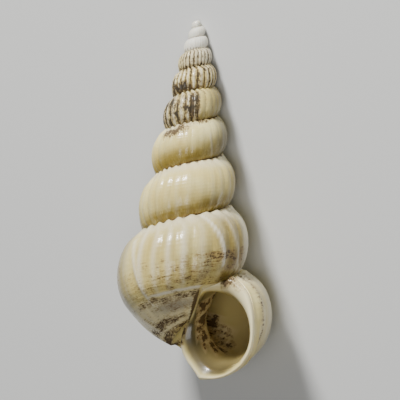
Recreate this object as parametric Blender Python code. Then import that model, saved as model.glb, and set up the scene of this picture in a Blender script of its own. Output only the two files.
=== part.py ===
# Wentletrap shell: one closed hollow solid, a coiled tube with axial ribs, a thick ring round the mouth
# and its bore inside. Lengths are in millimetres until the last step. Build frame: coil axis along Z, apex
# at the origin, mouth towards -Y. A position along the coil is its number of turns from the apex; whole
# turns lie on the +X side.
import math

import bmesh
import bpy
import numpy as np
from mathutils import Matrix

MM = 0.001
NAME = "wentletrap_shell"

# Growth of the coil: radius at the widest line and height of the tube centre, at these turns
TURNS = (0, 0.5, 1, 2, 3, 4, 5, 6, 7, 7.5, 8, 8.5, 9, 9.5)
RADII = (0.7, 0.8, 0.98, 1.34, 1.86, 2.48, 3.25, 4.16, 5.36, 6.1, 7.2, 8.58, 10.2, 11.5)
HEIGHTS = (
    -0.42, -0.75, -1.36, -2.73, -4.54, -7.02, -10.3,
    -14.62, -20.34, -23.85, -27.8, -32.2, -36.8, -42.2,
)
LAST_TURN = 9.105
TIP_TURNS = 0.25

# Section of the tube, as parts of the coil radius
TUBE_WIDTH = 0.336
TUBE_HEIGHT = 0.575
MOUTH_TUBE_HEIGHT = 0.5
SUTURE_ANGLE = math.radians(-63.4)
TOP_ANGLE = math.radians(100)
SUTURE_REACH = 0.3
FLATTER = 0.7

# Underside: the ridge that the front corner of the mouth leaves behind, the ear on it (turn, width, out,
# down), the dimple on the axis, and the inner lip that leans out over the dimple as the mouth comes near
RIDGE_TURNS = (8.1, 8.5, 8.75, 9.0, 9.105)
RIDGE_RADII = (1.0, 1.5, 1.9, 2.3, 2.5)
RIDGE_HEIGHTS = (-37.2, -39.9, -41.3, -43.8, -44.85)
DIMPLE_HEIGHT = -37.6
BASE_BULGE = (0.62, 0.42)
EAR = (8.56, 0.05, 0.35, 0.5)
COLUMELLA_BULGE = 1.75
COLUMELLA_START = 8.95
COLUMELLA_ROUNDING = 1.3

# Ribs, the thickened lips of earlier mouths (turn, width, height), and the flare of the present one with
# the neck behind it. All of them fade towards the suture, the ribs also at the cord.
RIBS_PER_TURN = 24
RIB_HEIGHT = 0.045
RIB_SHARPNESS = 1.6
RIBS_BETWEEN = (2, 3.5)
TOP_FADE = 0.12
CORD_FADE = (0.85, 0.6)
BASE_RIB = 0.4
BASE_SWELLING = 0.8
OLD_LIPS = ((8.47, 0.05, 0.25), (8.985, 0.035, 0.36))
MOUTH_FLARE = 1.1
FLARE_TURNS = (9.07, 9.094)
FLARE_PLACES = (0, 0.25, 0.5, 0.65, 0.85, 1)
FLARE_SHARES = (0, 0.3, 0.38, 0.45, 0.7, 0.8)
BASE_FLARE = 0.4
RIDGE_FLARE = 0.05
NECK = (9.068, 0.012, 0.35)

# Mouth: the inner lip lies on the underside further round than the outer lip. The opening is a distance
# from the middle of the mouth in each direction, in degrees from straight outwards.
MOUTH_FACING = math.radians(19)
MOUTH_CENTRE = (5.2, -39.0)
INNER_LIP_LEAD = 0.104
OPENING_WAYS = (-162, -138, -113, -97, -49, 8, 45, 68, 82, 99, 106, 112, 120, 129, 148, 165, 176)
OPENING = (3.64, 4.0, 4.5, 4.7, 4.63, 4.4, 4.4, 4.6, 4.8, 4.86, 4.83, 4.44, 4.02, 3.64, 3.3, 3.5, 3.56)
OPENING_DEPTH = 0.75

# Mouth ring, by stations round its outline: 0 suture, 1 front, 2 ridge, 3 dimple, 4 ridge, 5 cord and
# 6 suture again. It starts a part of the way in and rises out of the mouth, or falls into it as a funnel,
# in loops of (way in, rise, bridging of the notch, depth of the funnel).
STATIONS = (0, 1, 2, 3, 4, 4.6, 5, 5.2, 5.4, 5.7, 6)
RING_FOOT = (0.03, 0.03, 0.03, 0.08, 0.2, 0.35, 0.5, 0.35, 0.2, 0.08, 0.03)
RING_RISE = (1.0, 0.7, 0.12, 0.15, 0.3, 0.35, 0.35, 0.5, 0.7, 0.95, 1.0)
RING_FUNNEL = (0, 0.3, 0.9, 0.7, 0.2, 0, 0, 0, 0, 0, 0)
RING_LOOPS = (
    (0.03, 0.5, 0.6, 0.05),
    (0.22, 0.85, 1.0, -0.1),
    (0.55, 0.8, 1.0, -0.35),
    (0.85, 0.3, 0.9, -0.5),
    (1.0, -0.6, 0.7, -0.55),
)
EASING = 2
NOTCH_EASING = 18

# Bore of the tube: the wall is a part of the coil radius; near the mouth the bore takes the opening's shape
WALL = 0.07
NEAR_AXIS = 0.1
LEAD_EASING = 3
BORE_END = 5.0
BORE_STEP = 1 / 18
BORE_BLEND = 0.35

# Mesh fineness
COLUMNS = 96
WHORL_ROWS = 8
BASE_ROWS = 5
COLUMELLA_ROWS = 3
TRIANGLES = 9600

# Resting pose: which side is down, counted round the axis from +X, and how far the tip hangs down towards
# the table. A little of the lowest ribs is worn flat where it lies.
SIDE_DOWN = math.radians(54)
TIP_DOWN = math.radians(15.28)
WORN = 0.22


def along(knots, values, turn):
    """Smooth curve through the values, with slopes taken from the neighbours."""
    x = np.array(knots, float)
    y = np.array(values, float)
    slopes = np.gradient(y, x)
    i = int(np.clip(np.searchsorted(x, turn) - 1, 0, len(x) - 2))
    h = x[i + 1] - x[i]
    t = (turn - x[i]) / h
    a = (1 + 2 * t) * (1 - t) ** 2 * y[i] + t * (1 - t) ** 2 * h * slopes[i]
    b = t * t * (3 - 2 * t) * y[i + 1] + t * t * (t - 1) * h * slopes[i + 1]
    return a + b


def ramp(x):
    """0 below 0, 1 above 1, smooth between."""
    x = min(max(x, 0.0), 1.0)
    return x * x * (3 - 2 * x)


def radius(turn):
    return along(TURNS, RADII, turn) * math.sqrt(min(1.0, turn / TIP_TURNS))


def height(turn):
    return along(TURNS, HEIGHTS, turn)


def tube_height(turn):
    late = ramp(turn - 8)
    return radius(turn) * (TUBE_HEIGHT + (MOUTH_TUBE_HEIGHT - TUBE_HEIGHT) * late)


def section(turn, angle):
    """Point (r, z) of the tube section, at an angle from straight outwards."""
    r = radius(turn) * (1 - TUBE_WIDTH + TUBE_WIDTH * math.cos(angle))
    return np.array((r, height(turn) + tube_height(turn) * math.sin(angle)))


def suture(turn):
    """Line where a whorl meets the one before it."""
    return section(turn - 1, SUTURE_ANGLE) if turn > 1 else np.array((0.0, 0.0))


def flare(turn):
    """How far the ring round the mouth stands out, after a narrow neck."""
    start, full = FLARE_TURNS
    place, width, depth = NECK
    neck = depth * math.exp(-(((turn - place) / width) ** 2))
    return MOUTH_FLARE * ramp((turn - start) / (full - start)) - neck


def swelling(turn):
    """How far the old lips stand out."""
    out = 0.0
    for middle, width, size in OLD_LIPS:
        out += size * math.exp(-(((turn - middle) / width) ** 2))
    return out


def rib(turn):
    wave = 0.5 + 0.5 * math.cos(2 * math.pi * RIBS_PER_TURN * turn)
    start, full = RIBS_BETWEEN
    return RIB_HEIGHT * radius(turn) * wave**RIB_SHARPNESS * ramp((turn - start) / (full - start))


def whorl_point(turn, t):
    """Visible side of a whorl, t = 0 at the suture above and 1 at the cord below."""
    angle = TOP_ANGLE + (SUTURE_ANGLE - TOP_ANGLE) * t
    point = section(turn, angle)
    pull = max(0.0, 1 - t / SUTURE_REACH) ** 2
    point += (suture(turn) - section(turn, TOP_ANGLE)) * pull
    out = np.array((math.cos(angle), math.sin(angle) * FLATTER))
    start, share = CORD_FADE
    lift = rib(turn) * (1 - share * ramp((t - start) / (1 - start))) + swelling(turn)
    return point + out * (lift * ramp(t / TOP_FADE) + flare(turn) * np.interp(t, FLARE_PLACES, FLARE_SHARES))


def ridge(turn):
    place, width, out, down = EAR
    ear = math.exp(-(((turn - place) / width) ** 2))
    r = along(RIDGE_TURNS, RIDGE_RADII, turn) + out * ear
    return np.array((r, along(RIDGE_TURNS, RIDGE_HEIGHTS, turn) - down * ear))


def base_point(turn, t):
    """Underside from the cord (t = 0) to the ridge round the dimple (t = 1)."""
    start = whorl_point(turn, 1.0)
    end = ridge(turn) - np.array((0.0, RIDGE_FLARE * flare(turn)))
    middle = end + (start - end) * np.array(BASE_BULGE)
    point = (1 - t) ** 2 * start + 2 * t * (1 - t) * middle + t * t * end
    lift = rib(turn) * BASE_RIB + swelling(turn) * BASE_SWELLING + flare(turn) * BASE_FLARE
    return point - np.array((0.0, lift * math.sin(math.pi * t)))


def columella_point(turn, t):
    """From the ridge (t = 0) up to the dimple on the axis (t = 1)."""
    start = base_point(turn, 1.0)
    point = start + (np.array((0.0, DIMPLE_HEIGHT)) - start) * t
    lip = ramp((turn - COLUMELLA_START) / (LAST_TURN - COLUMELLA_START))
    point[0] -= COLUMELLA_BULGE * lip * math.sin(math.pi * t) ** COLUMELLA_ROUNDING
    return point


def place(turn, point):
    """Point (r, z) of a radial plane put into space."""
    a = 2 * math.pi * turn
    return (point[0] * math.cos(a), -point[0] * math.sin(a), point[1])


def build_skin():
    """Outside of the shell; returns the corners, the faces and the outline of the mouth."""
    points = [(0.0, 0.0, 0.0)]
    faces = []
    last = round(LAST_TURN * COLUMNS)
    first = last - COLUMNS
    first_base = first + round(INNER_LIP_LEAD * COLUMNS)
    grid = []
    dimple = None
    for i in range(last + 1):
        turn = i / COLUMNS
        if i == 0:
            grid.append([0] * (WHORL_ROWS + 1))
            continue
        column = [0 if i < COLUMNS else grid[i - COLUMNS][WHORL_ROWS]]
        for j in range(1, WHORL_ROWS + 1):
            column.append(len(points))
            points.append(place(turn, whorl_point(turn, j / WHORL_ROWS)))
        if i >= first_base:
            for j in range(1, BASE_ROWS + 1):
                column.append(len(points))
                points.append(place(turn, base_point(turn, j / BASE_ROWS)))
            for j in range(1, COLUMELLA_ROWS):
                column.append(len(points))
                points.append(place(turn, columella_point(turn, j / COLUMELLA_ROWS)))
            if dimple is None:
                dimple = len(points)
                points.append((0.0, 0.0, DIMPLE_HEIGHT))
            column.append(dimple)
        grid.append(column)
    for i in range(last):
        for j in range(min(len(grid[i]), len(grid[i + 1])) - 1):
            face = (grid[i][j], grid[i][j + 1], grid[i + 1][j + 1], grid[i + 1][j])
            face = tuple(dict.fromkeys(face))
            if len(face) > 2:
                faces.append(face)
    # Mouth outline: outer lip down to the dimple, up the underside, back along the cord to the suture
    outline = list(grid[last])
    free = len(outline)
    outline += grid[first_base][WHORL_ROWS:-1][::-1]
    outline += [column[WHORL_ROWS] for column in grid[first + 1 : first_base][::-1]]
    return points, faces, outline, free


def eased(values, times=EASING):
    """Evens out steps along a closed row of values."""
    values = np.array(values)
    for _ in range(times):
        values = (np.roll(values, 1, axis=0) + 2 * values + np.roll(values, -1, axis=0)) / 4
    return values


def stations():
    """Where each corner of the mouth's outline lies, from 0 to 6."""
    down = [j / WHORL_ROWS for j in range(WHORL_ROWS + 1)]
    under = [1 + j / BASE_ROWS for j in range(1, BASE_ROWS + 1)]
    under += [2 + j / COLUMELLA_ROWS for j in range(1, COLUMELLA_ROWS + 1)]
    back = [6 - place for place in under[-2::-1]]
    lead = round(INNER_LIP_LEAD * COLUMNS)
    return down + under + back + [5 + j / lead for j in range(lead)]


def build_mouth(points, faces, outline, free):
    """Rounded ring from the outline inwards, then the bore up the tube, closed at its end."""
    across = np.array((math.cos(MOUTH_FACING), -math.sin(MOUTH_FACING), 0.0))
    forward = np.array((-math.sin(MOUTH_FACING), -math.cos(MOUTH_FACING), 0.0))
    upright = np.array((0.0, 0.0, 1.0))
    start = np.array(place(LAST_TURN, MOUTH_CENTRE))
    edge = np.array([points[index] for index in outline])
    rays = edge - start
    ways = np.arctan2(rays[:, 2], rays @ across)
    depth = rays @ forward
    opening = eased(np.interp(ways, np.radians(OPENING_WAYS), OPENING, period=2 * math.pi))
    inner = np.outer(opening * np.cos(ways), across) + np.outer(opening * np.sin(ways), upright)
    inner += np.outer(OPENING_DEPTH * depth, forward)
    foot = eased(np.interp(stations(), STATIONS, RING_FOOT))
    rise = eased(np.interp(stations(), STATIONS, RING_RISE))
    funnel = eased(np.interp(stations(), STATIONS, RING_FUNNEL))
    # The ring bridges the notch where the suture runs into the mouth
    bridge = eased(np.clip(eased(depth, NOTCH_EASING) - depth, 0, None))
    loops = [list(outline)]
    for part, step, bridging, fall in RING_LOOPS:
        inwards = (foot + (1 - foot) * part)[:, None]
        ring = start + rays + (inner - rays) * inwards
        ring += np.outer(rise * step + bridge * bridging + funnel * fall, forward)
        loops.append(list(range(len(points), len(points) + len(ring))))
        points.extend(tuple(p) for p in ring)
    # The bore follows the coil; on the inner lip it starts further round
    round_axis = (np.arctan2(-edge[:, 1], edge[:, 0]) / (2 * math.pi) - LAST_TURN) % 1.0
    on_inner_lip = (np.arange(len(edge)) >= free) & (np.hypot(edge[:, 0], edge[:, 1]) > NEAR_AXIS)
    leads = eased(np.where(on_inner_lip, round_axis, 0.0), LEAD_EASING)
    turn = LAST_TURN - BORE_STEP
    while turn > BORE_END:
        blend = ramp((LAST_TURN - turn) / BORE_BLEND)
        gap = WALL * radius(turn)
        wide = TUBE_WIDTH * radius(turn) - gap
        tall = tube_height(turn) - gap
        tube = np.array((radius(turn) * (1 - TUBE_WIDTH), height(turn)))
        growth = radius(turn) / radius(LAST_TURN)
        mouth = np.array((MOUTH_CENTRE[0] * growth, MOUTH_CENTRE[1] + height(turn) - height(LAST_TURN)))
        middle = mouth + (tube - mouth) * blend
        loop = []
        for k, way in enumerate(ways):
            oval = 1 / math.hypot(math.cos(way) / wide, math.sin(way) / tall)
            size = opening[k] * growth * (1 - blend) + oval * blend
            p = middle + size * np.array((math.cos(way), math.sin(way)))
            loop.append(len(points))
            points.append(place(turn + leads[k] * (1 - blend), p))
        loops.append(loop)
        turn -= BORE_STEP
    for one, two in zip(loops, loops[1:]):
        for k in range(len(one)):
            n = (k + 1) % len(one)
            faces.append((one[k], one[n], two[n], two[k]))
    faces.append(tuple(loops[-1]))


bpy.ops.object.select_all(action="DESELECT")
for old in list(bpy.data.objects):
    bpy.data.objects.remove(old)

# Shell surface
points, faces, outline, free = build_skin()
build_mouth(points, faces, outline, free)
mesh = bpy.data.meshes.new("shell")
mesh.from_pydata(points, [], faces)
bm = bmesh.new()
bm.from_mesh(mesh)
bmesh.ops.triangulate(bm, faces=bm.faces)
bmesh.ops.recalc_face_normals(bm, faces=bm.faces)
full = len(bm.faces)
bm.to_mesh(mesh)
bm.free()
shell = bpy.data.objects.new("shell", mesh)
parts = bpy.data.collections.new(NAME)
bpy.context.scene.collection.children.link(parts)
parts.objects.link(shell)

# Lay it down: resting side on the ground plane, tip towards +Y, origin under the middle
level = math.cos(TIP_DOWN)
up = np.array((-math.cos(SIDE_DOWN) * level, -math.sin(SIDE_DOWN) * level, -math.sin(TIP_DOWN)))
ahead = np.array((0.0, 0.0, 1.0)) - up[2] * up
ahead /= np.linalg.norm(ahead)
right = np.cross(ahead, up)
mesh.transform(Matrix((right, ahead, up)).to_4x4())
corners = np.array([v.co for v in mesh.vertices])
low = corners.min(axis=0)
high = corners.max(axis=0)
middle = (low + high) / 2
mesh.transform(Matrix.Translation((-middle[0], -middle[1], -low[2] - WORN)))
mesh.transform(Matrix.Scale(MM, 4))

fewer = shell.modifiers.new("fewer_triangles", "DECIMATE")
fewer.ratio = TRIANGLES / full

# Worn flats: all below the ground plane is cut away
cutters = bpy.data.collections.new("cutters")
bpy.context.scene.collection.children.link(cutters)
size = 2 * MM * (high - low)
bpy.ops.mesh.primitive_cube_add(size=1, location=(0, 0, -size[2] / 2), scale=tuple(size))
ground = bpy.context.object
ground.name = "ground_cutter"
ground.hide_render = True
ground.display_type = "WIRE"
for old in list(ground.users_collection):
    old.objects.unlink(ground)
cutters.objects.link(ground)
flat = shell.modifiers.new("worn_flat", "BOOLEAN")
flat.operation = "DIFFERENCE"
flat.solver = "EXACT"
flat.object = ground

material = bpy.data.materials.new("shell_ivory")
material.use_nodes = True
paint = material.node_tree.nodes["Principled BSDF"]
paint.inputs["Base Color"].default_value = (0.62, 0.56, 0.40, 1)
paint.inputs["Roughness"].default_value = 0.3
shell.data.materials.append(material)
bpy.context.view_layer.update()
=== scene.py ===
# %% [markdown]
# # A wentletrap shell
# A wentletrap is a small sea snail. Its shell is one tube that grows at its open end while it winds down
# and round a straight line, the coil axis. Each turn is wider than the one before, and ribs stand across
# the tube like rungs of a stair. This lesson builds the shell as one closed mesh: the outside is a long
# ribbon wound round the axis, the underside is a second ribbon, and the mouth with the bore of the tube
# is a third. The tints and the dirt then follow the same map of growth as the form does.

import math

import bpy
import numpy as np
from mathutils import Matrix, Vector


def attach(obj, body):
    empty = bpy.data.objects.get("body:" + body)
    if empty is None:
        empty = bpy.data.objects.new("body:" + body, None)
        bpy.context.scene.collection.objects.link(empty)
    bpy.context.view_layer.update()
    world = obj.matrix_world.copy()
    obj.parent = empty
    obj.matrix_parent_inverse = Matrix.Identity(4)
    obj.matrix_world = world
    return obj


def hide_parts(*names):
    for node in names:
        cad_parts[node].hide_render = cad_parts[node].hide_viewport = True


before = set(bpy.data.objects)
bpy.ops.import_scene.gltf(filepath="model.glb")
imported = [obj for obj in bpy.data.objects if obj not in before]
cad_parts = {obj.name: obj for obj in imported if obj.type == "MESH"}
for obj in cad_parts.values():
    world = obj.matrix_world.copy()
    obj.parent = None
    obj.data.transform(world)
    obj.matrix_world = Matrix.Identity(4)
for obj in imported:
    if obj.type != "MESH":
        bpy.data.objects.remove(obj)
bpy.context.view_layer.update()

# %% [markdown]
# ## Three curves to draw with
# A shell has no hard corners, so every value here is blended. `along` draws a smooth line through a few
# typed values, `ramp` fades from 0 to 1, and `bump` is a bell for a local swelling. A curve object could
# do the first, but a plain function gives its value at all the points of a mesh at once.


# %% Smooth curves
def along(knots, values, x):
    """Smooth curve through the values at the knots."""
    knots, values = np.array(knots, float), np.array(values, float)
    slopes = np.gradient(values, knots)
    i = np.clip(np.searchsorted(knots, x) - 1, 0, len(knots) - 2)
    h = knots[i + 1] - knots[i]
    t = (x - knots[i]) / h
    left = (1 + 2 * t) * (1 - t) ** 2 * values[i] + t * (1 - t) ** 2 * h * slopes[i]
    right = t * t * (3 - 2 * t) * values[i + 1] + t * t * (t - 1) * h * slopes[i + 1]
    return left + right


def ramp(x):
    """0 below 0, 1 above 1, smooth between."""
    x = np.clip(x, 0.0, 1.0)
    return x * x * (3 - 2 * x)


def bump(x, middle, width):
    """Bell shape, 1 at the middle."""
    return np.exp(-(((x - middle) / width) ** 2))


print("ramp at 0.25 and 0.5:", float(ramp(0.25)), float(ramp(0.5)))

# %% [markdown]
# ## How the tube grows
# The snail widens its tube a little with every turn, so the radius and the drop of the coil are smooth
# curves of one number: how many turns the tube has made since the tip. Typing a handful of values and
# drawing a smooth curve through them gives full control of the outline, where a plain spiral formula
# would only fit a perfect shell. The lengths are millimetres with the coil axis upright, and the shell is
# laid down at the end.

# %% Growth curves
TURNS = (0, 0.5, 1, 2, 3, 4, 5, 6, 7, 7.5, 8, 8.5, 9, 9.5)
RADII = (0.7, 0.8, 0.98, 1.34, 1.86, 2.48, 3.25, 4.16, 5.36, 6.1, 7.2, 8.58, 10.2, 11.5)
DROPS = (
    -0.42, -0.75, -1.36, -2.73, -4.54, -7.02, -10.3, -14.62,
    -20.34, -23.85, -27.8, -32.2, -36.8, -42.2,
)
COLUMNS_PER_TURN = 288
LAST_COLUMN = 2622
LAST_TURN = LAST_COLUMN / COLUMNS_PER_TURN
ROUND_TIP_TURNS = 0.25


def radius(turn):
    return along(TURNS, RADII, turn) * np.sqrt(np.clip(turn / ROUND_TIP_TURNS, 0, 1))


def drop(turn):
    return along(TURNS, DROPS, turn)


print("radius at the tip, middle and mouth:", [round(float(radius(t)), 2) for t in (0.5, 5, LAST_TURN)])

# %% [markdown]
# ## Where the ribs stand
# The ribs are old edges of the mouth, folded back each time the snail paused. Their spacing is never
# quite even, and near the seam above their tops swing forward. An array modifier would repeat one rib
# like the teeth of a gear, so each place on the tube gets a rib number instead: a number that wavers as
# it grows, and is whole on every crest.

# %% Rib numbers
RIBS_PER_TURN = 24
RIB_LEAN = 0.045
LEAN_REACH = 0.35
LEAN_CURVE = 1.5
# How the spacing wavers: amount in ribs, pace along the growth, start
WAVERS = ((0.24, 11, 1), (0.15, 27, 2.1))


def rib_number(turn, t):
    """Whole numbers on the rib crests, at a turn and t of the way from the seam above to the cord below."""
    at = turn - RIB_LEAN * np.clip(1 - t / LEAN_REACH, 0, 1) ** LEAN_CURVE
    return RIBS_PER_TURN * at + sum(size * np.sin(pace * at + start) for size, pace, start in WAVERS)


print("ribs in all:", round(float(rib_number(LAST_TURN, 1.0) - rib_number(2.0, 1.0))))

# %% [markdown]
# ## How high the ribs are
# Each rib has a rounded crest and a height of its own. They are bold on the early turns and worn down on
# the late ones. A cosine alone would look machined, so the height is drawn from the rib's number, and a
# list of places makes the ribs smoother or bolder where the real shell has them so.

# %% Rib heights
# Turns, and the height there as a part of the radius
RIB_HEIGHTS = (
    (0, 1.7, 2.3, 3, 4, 5, 6, 7, 8, 9.2),
    (0, 0, 0.03, 0.05, 0.055, 0.05, 0.034, 0.034, 0.022, 0.02),
)
LEAST_HEIGHT, HEIGHT_SPREAD = 0.6, 0.8
TROUGH_ROUNDING = 0.01
SCATTER_PACE, SCATTER_SALT, SCATTER_SIZE = 12.9898, 78.233, 43758.5453
# Where the ribs are smoother, or bolder with a share below zero: turn, half width, share
SMOOTH_PLACES = (
    (8.99, 0.06, 0.9),
    (8.48, 0.045, 0.8),
    (8.04, 0.035, 0.8),
    (7.53, 0.1, -2.0),
    (7.2, 0.15, 0.75),
    (6.54, 0.1, -2.4),
    (6.2, 0.15, 0.75),
    (5.1, 0.12, 0.6),
)


def scatter(number, salt):
    """A steady value from 0 to 1 for each whole number."""
    return np.mod(np.sin(number * SCATTER_PACE + salt * SCATTER_SALT) * SCATTER_SIZE, 1.0)


def rib(turn, t):
    """Rib height, as a part of the radius, and how near the crest is, from 0 to 1."""
    number = rib_number(turn, t)
    nearest = np.round(number)
    crest = np.sqrt(np.cos(np.pi * (number - nearest)) ** 2 + TROUGH_ROUNDING)
    size = along(*RIB_HEIGHTS, turn) * (LEAST_HEIGHT + HEIGHT_SPREAD * scatter(nearest, 1))
    for place, width, share in SMOOTH_PLACES:
        size = size * (1 - share * bump(turn, place, width))
    return size * crest, crest


print("rib height as a part of the radius:", [round(float(along(*RIB_HEIGHTS, t)), 3) for t in (4, 6, 8)])

# %% [markdown]
# ## Single thin ribs
# A few newer ribs still stand up from the worn surface as thin pale blades. They could be separate strips
# of mesh, but those would need joining all along their foot. A very narrow bell added to the surface
# stays one skin, and it can follow any slanting line that is typed in.

# %% Thin ribs
# The way each one runs, as turns at parts across, and its height
THIN_RIBS = (
    ((0.05, 0.116, 0.351, 0.479, 0.612, 0.805), (8.215, 8.207, 8.18, 8.165, 8.156, 8.154), 0.2),
    ((0.1, 0.186, 0.53, 0.94), (8.14, 8.131, 8.113, 8.077), 0.08),
    ((0.3, 0.516, 0.823, 1.194, 1.357), (8.415, 8.401, 8.381, 8.373, 8.341), 0.14),
    ((0.45, 0.6, 0.8, 1.0), (6.17, 6.166, 6.155, 6.14), 0.06),
    ((0.6, 0.7, 0.78, 0.86, 0.95), (7.14, 7.13, 7.142, 7.136, 7.155), 0.07),
)
THIN_RIB_WIDTH = 0.005
THIN_RIB_TAPER = 0.08


def thin_rib(turn, across):
    """Height of the single thin ribs."""
    out = 0 * turn
    for places, turns, height in THIN_RIBS:
        ends = ramp((across - places[0]) / THIN_RIB_TAPER) * ramp((places[-1] - across) / THIN_RIB_TAPER)
        out = np.maximum(out, height * ends * bump(turn, np.interp(across, places, turns), THIN_RIB_WIDTH))
    return out


print("thin ribs:", len(THIN_RIBS), "up to", max(height for *_, height in THIN_RIBS), "mm high")

# %% [markdown]
# ## Old lips, neck and mouth ring
# Now and then the snail stopped for longer and thickened its lip, which stays as a broad swelling. At the
# open end comes a narrow neck, and then the ring of the mouth stands out. Scaling a few loops by hand
# would do it for one section, but as bells and a step along the growth the swellings go round the side
# and the underside alike.

# %% Swellings along the growth
# Old lips: turn, half width, height
OLD_LIPS = ((8.47, 0.05, 0.25), (8.03, 0.03, 0.12), (8.995, 0.04, 0.42))
NECK_TURN, NECK_WIDTH, NECK_DEPTH = 9.068, 0.012, 0.35
MOUTH_FLARE = 1.1
FLARE_TURNS = (9.079, 9.092)


def swelling(turn):
    """How far the old lips stand out."""
    out = 0 * turn
    for place, width, size in OLD_LIPS:
        out = out + size * bump(turn, place, width)
    return out


def flare(turn):
    """How far the mouth ring stands out, after a narrow neck."""
    ring = MOUTH_FLARE * ramp((turn - FLARE_TURNS[0]) / (FLARE_TURNS[1] - FLARE_TURNS[0]))
    return ring - NECK_DEPTH * bump(turn, NECK_TURN, NECK_WIDTH)


print("flare at the neck and the mouth:", [round(float(flare(t)), 2) for t in (NECK_TURN, LAST_TURN)], "mm")

# %% [markdown]
# ## The section of the tube
# Cut through the axis, the visible side of each turn is part of an oval: it starts at the seam under the
# turn above, bulges out, and ends at the cord below. An oval swept along a path would make round turns
# that only touch, so the section is a function of the turn, and its two ends can be pulled to where they
# belong.

# %% Oval of the tube
TUBE_WIDTH = 0.336
TUBE_HEIGHTS = (0.575, 0.5)
LAST_WHORL = 8


def tube_height(turn):
    """Half height of the tube: the last whorl is a little flatter."""
    return radius(turn) * (TUBE_HEIGHTS[0] + (TUBE_HEIGHTS[1] - TUBE_HEIGHTS[0]) * ramp(turn - LAST_WHORL))


def section(turn, angle):
    """Distance from the axis and height of a point on the oval."""
    r = radius(turn) * (1 - TUBE_WIDTH + TUBE_WIDTH * np.cos(angle))
    return r, drop(turn) + tube_height(turn) * np.sin(angle)


print("half height of the tube at the mouth:", round(float(tube_height(LAST_TURN)), 2), "mm")

# %% [markdown]
# ## The seam
# Each new turn is glued to the one before along a fine cord, so the first point of a turn is the last
# point of the turn above it. Two separate edges would have to be stitched. Here both turns ask the same
# function for the cord, and the seam closes exactly.

# %% Cord at the lower edge
SEAM_ANGLE = math.radians(-63.4)
FLATTER = 0.7
CORD_FADE = 0.6
CORD_HEIGHT = 0.012
# Parts across the side, and the share of the flare there
FLARE_SHARES = ((0, 0.25, 0.5, 0.65, 0.85, 1), (0, 0.05, 0.0, 0.1, 0.6, 0.8))


def cord(turn):
    """Lower edge of a turn, where the next turn is glued on."""
    r, z = section(turn, SEAM_ANGLE)
    lift = radius(turn) * (rib(turn, 1.0)[0] * (1 - CORD_FADE) + CORD_HEIGHT)
    lift = lift + swelling(turn) + flare(turn) * FLARE_SHARES[1][-1]
    grown = turn > 0
    return grown * (r + math.cos(SEAM_ANGLE) * lift), grown * (z + FLATTER * math.sin(SEAM_ANGLE) * lift)


print("lower edge of the last turn:", [round(float(x), 2) for x in cord(LAST_TURN)])

# %% [markdown]
# ## The visible side
# Between the seam and the cord the ribs, old lips and thin ribs lift the oval outwards. The rib tops
# stand a little over the seam as a scalloped edge. A displace modifier could add the relief later, but
# then the seam would tear, so it is part of the section from the start and fades out at both edges.

# %% Visible side of a turn
TOP_ANGLE = math.radians(100)
SEAM_REACH = 0.3
TOP_FADE = 0.12
CORD_WIDTH = 0.035
CORD_FADE_START, CORD_FADE_LENGTH = 0.85, 0.15
THIN_RIB_END = 0.1
SCALLOP = 0.035
SCALLOP_PLACE, SCALLOP_WIDTH, SCALLOP_EDGE = 0.09, 0.05, 0.04
SCALLOP_START, SCALLOP_GROWTH = 2, 1.5


def side_point(turn, t):
    """Visible side of a turn, t = 0 at the seam above and 1 at the cord below."""
    angle = TOP_ANGLE + (SEAM_ANGLE - TOP_ANGLE) * t
    r, z = section(turn, angle)
    seam_r, seam_z = cord(np.maximum(turn - 1, 0))
    top_r, top_z = section(turn, TOP_ANGLE)
    pull = np.clip(1 - t / SEAM_REACH, 0, 1) ** 2
    r, z = r + (seam_r - top_r) * pull, z + (seam_z - top_z) * pull
    edges = ramp(t / TOP_FADE)
    height, crest = rib(turn, t)
    lift = radius(turn) * height * edges * (1 - CORD_FADE * ramp((t - CORD_FADE_START) / CORD_FADE_LENGTH))
    lift = lift + radius(turn) * CORD_HEIGHT * bump(t, 1, CORD_WIDTH) + swelling(turn) * edges
    lift = lift + flare(turn) * np.interp(t, *FLARE_SHARES)
    lift = lift + thin_rib(turn, t) * ramp((1 - t) / THIN_RIB_END)
    r, z = r + np.cos(angle) * lift, z + FLATTER * np.sin(angle) * lift
    scallop = radius(turn) * SCALLOP * crest**2 * bump(t, SCALLOP_PLACE, SCALLOP_WIDTH)
    z = z + scallop * ramp(t / SCALLOP_EDGE) * ramp((turn - SCALLOP_START) / SCALLOP_GROWTH)
    start, end, tip = t <= 0, t >= 1, turn <= 0
    end_r, end_z = cord(turn)
    r = np.where(start, seam_r, np.where(end, end_r, r)) * ~tip
    z = np.where(start, seam_z, np.where(end, end_z, z)) * ~tip
    return r, z


def place(turn, r, z):
    """A point of a section in space: whole turns lie on the +X side, and the coil winds to the right."""
    a = 2 * math.pi * turn
    return np.stack((r * np.cos(a), -r * np.sin(a), z), -1)


widest = max(float(side_point(np.array([LAST_TURN]), np.array([t]))[0][0]) for t in (0.4, 0.5, 0.6))
print("widest point from the axis:", round(widest, 2), "mm")

# %% [markdown]
# ## Winding the outside
# The outside starts as a flat grid primitive, one column per small step of growth and one row per step
# across the tube. Every vertex is then moved to its place on the coil. It could be made with a screw
# modifier, but that gives an even spiral with the same section all the way, and here both change. The
# rows lie closer together near the two seams, where the surface bends most. How far along and across each
# vertex lies stays on as a UV map, so that finishes can follow the growth.

# %% Helpers for ribbons
SIDE_ROWS = 24
CLOSER = 0.6


def deselect():
    bpy.ops.object.select_all(action="DESELECT")


def closer_ends(s):
    """Moves even steps closer together at both ends."""
    return s - CLOSER * np.sin(2 * math.pi * s) / (2 * math.pi)


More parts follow.
